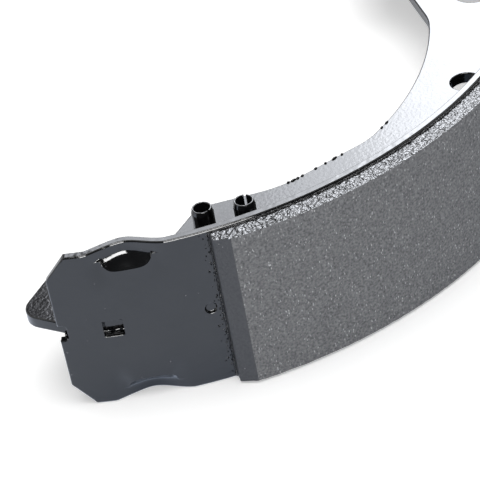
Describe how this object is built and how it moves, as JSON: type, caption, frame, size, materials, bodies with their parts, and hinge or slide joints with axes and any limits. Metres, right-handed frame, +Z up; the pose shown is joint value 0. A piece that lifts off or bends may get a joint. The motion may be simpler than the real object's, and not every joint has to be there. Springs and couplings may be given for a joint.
{
  "type": "brake shoe",
  "caption": "Bonded drum brake shoe: a curved friction lining on a rolled steel table, welded to a flat web that has toes, a hold-down hole, a spring hole and upright spring pins.",
  "frame": {"origin": "middle of the shoe's box, on the surface that it lies on", "axes": "+X along the chord from the end with the spring pins to the plain end, -Y towards the lining's face at mid-shoe, +Z up along the drum's axis, on the side where the spring pins stand"},
  "size_m": [0.2118, 0.0976, 0.042],
  "materials": {
    "black_paint": "gloss",
    "friction_material": "matte",
    "adhesive": "gloss"
  },
  "bodies": {
    "root": {"web": "black_paint", "table": "black_paint", "lining": "friction_material", "bond_layer": "adhesive", "spring_pin_front": "black_paint", "spring_pin_rear": "black_paint"}
  },
  "joints": []
}
